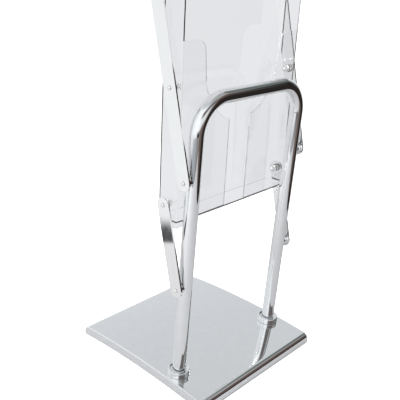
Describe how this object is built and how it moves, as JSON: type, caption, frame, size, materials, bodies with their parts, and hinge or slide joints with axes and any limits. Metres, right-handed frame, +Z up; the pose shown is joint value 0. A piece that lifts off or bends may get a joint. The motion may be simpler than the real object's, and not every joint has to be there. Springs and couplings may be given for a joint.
{
  "type": "presentation lectern",
  "caption": "Free-standing folding lectern: arched chrome base, inverted-U tube hoop, leaning flat-bar mast, clear brochure pocket on a parallel linkage and a tilting clear reading desk.",
  "frame": {"origin": "on the floor, under the middle of the base", "axes": "+Z up; -Y towards the reader, +Y the way the mast leans; +X to the reader's right"},
  "size_m": [0.48, 0.381, 1.1343],
  "materials": {
    "chrome": "bright chrome plate",
    "bright_fastener": "bright plated screws and nuts",
    "fastener_steel": "zinc-plated steel",
    "ballast_steel": "plain steel plate",
    "clear_acrylic": "clear, flame-polished edges",
    "nylon": "natural nylon",
    "rubber": "matt black"
  },
  "bodies": {
    "root": {"base_cover": "chrome", "ballast_plate": "ballast_steel", "foot_front_left": "rubber", "foot_front_right": "rubber", "foot_rear_left": "rubber", "foot_rear_right": "rubber", "hoop_tube": "chrome", "collar_left": "chrome", "collar_right": "chrome", "leg_plug_left": "fastener_steel", "leg_plug_right": "fastener_steel", "leg_bolt_left": "fastener_steel", "leg_bolt_right": "fastener_steel", "lug_lower_left": "chrome", "lug_lower_right": "chrome", "lug_upper_left": "chrome", "lug_upper_right": "chrome", "lug_screw_lower_left": "bright_fastener", "lug_screw_lower_right": "bright_fastener", "lug_screw_upper_left": "bright_fastener", "lug_screw_upper_right": "bright_fastener"},
    "lower_links": {"lower_link_left": "chrome", "lower_link_right": "chrome"},
    "mast": {"mast_bar_left": "chrome", "mast_bar_right": "chrome", "cross_rod": "chrome"},
    "pocket": {"pocket_shell": "clear_acrylic", "pocket_floor": "clear_acrylic", "pocket_screw_upper_left": "bright_fastener", "pocket_screw_upper_right": "bright_fastener", "pocket_screw_lower_left": "bright_fastener", "pocket_screw_lower_right": "bright_fastener", "pocket_spacer_upper_left": "nylon", "pocket_spacer_upper_right": "nylon", "pocket_spacer_lower_left": "nylon", "pocket_spacer_lower_right": "nylon", "dome_nut_upper_left": "bright_fastener", "dome_nut_upper_right": "bright_fastener", "dome_nut_lower_left": "bright_fastener", "dome_nut_lower_right": "bright_fastener"},
    "desk": {"desk_panel": "clear_acrylic", "desk_bracket_left": "chrome", "desk_bracket_right": "chrome", "desk_screw_near_left": "bright_fastener", "desk_screw_near_right": "bright_fastener", "desk_screw_far_left": "bright_fastener", "desk_screw_far_right": "bright_fastener"},
    "knob_left": {"desk_knob_left": "chrome"},
    "knob_right": {"desk_knob_right": "chrome"}
  },
  "joints": [
    {"name": "mast_fold", "type": "hinge", "parent": "root", "child": "mast", "pos_m": [0, -0.1103, 0.46049], "axis": [-1, 0, 0], "range_deg": [0, 75]},
    {"name": "lower_link_swing", "type": "hinge", "parent": "root", "child": "lower_links", "pos_m": [0, -0.10003, 0.23873], "axis": [-1, 0, 0], "range_deg": [0, 75]},
    {"name": "pocket_level", "type": "hinge", "parent": "mast", "child": "pocket", "pos_m": [0, -0.06944, 0.62499], "axis": [-1, 0, 0], "range_deg": [-75, 0]},
    {"name": "desk_tilt", "type": "hinge", "parent": "mast", "child": "desk", "pos_m": [0, 0.03435, 1.04279], "axis": [1, 0, 0], "range_deg": [-22, 30]},
    {"name": "knob_left_turn", "type": "hinge", "parent": "mast", "child": "knob_left", "pos_m": [-0.1753, 0.03435, 1.04279], "axis": [-1, 0, 0], "range_deg": [0, 360]},
    {"name": "knob_right_turn", "type": "hinge", "parent": "mast", "child": "knob_right", "pos_m": [0.1753, 0.03435, 1.04279], "axis": [1, 0, 0], "range_deg": [0, 360]}
  ],
  "couplings": [
    {"joint": "lower_link_swing", "follows": "mast_fold", "ratio": 1},
    {"joint": "pocket_level", "follows": "mast_fold", "ratio": -1}
  ]
}
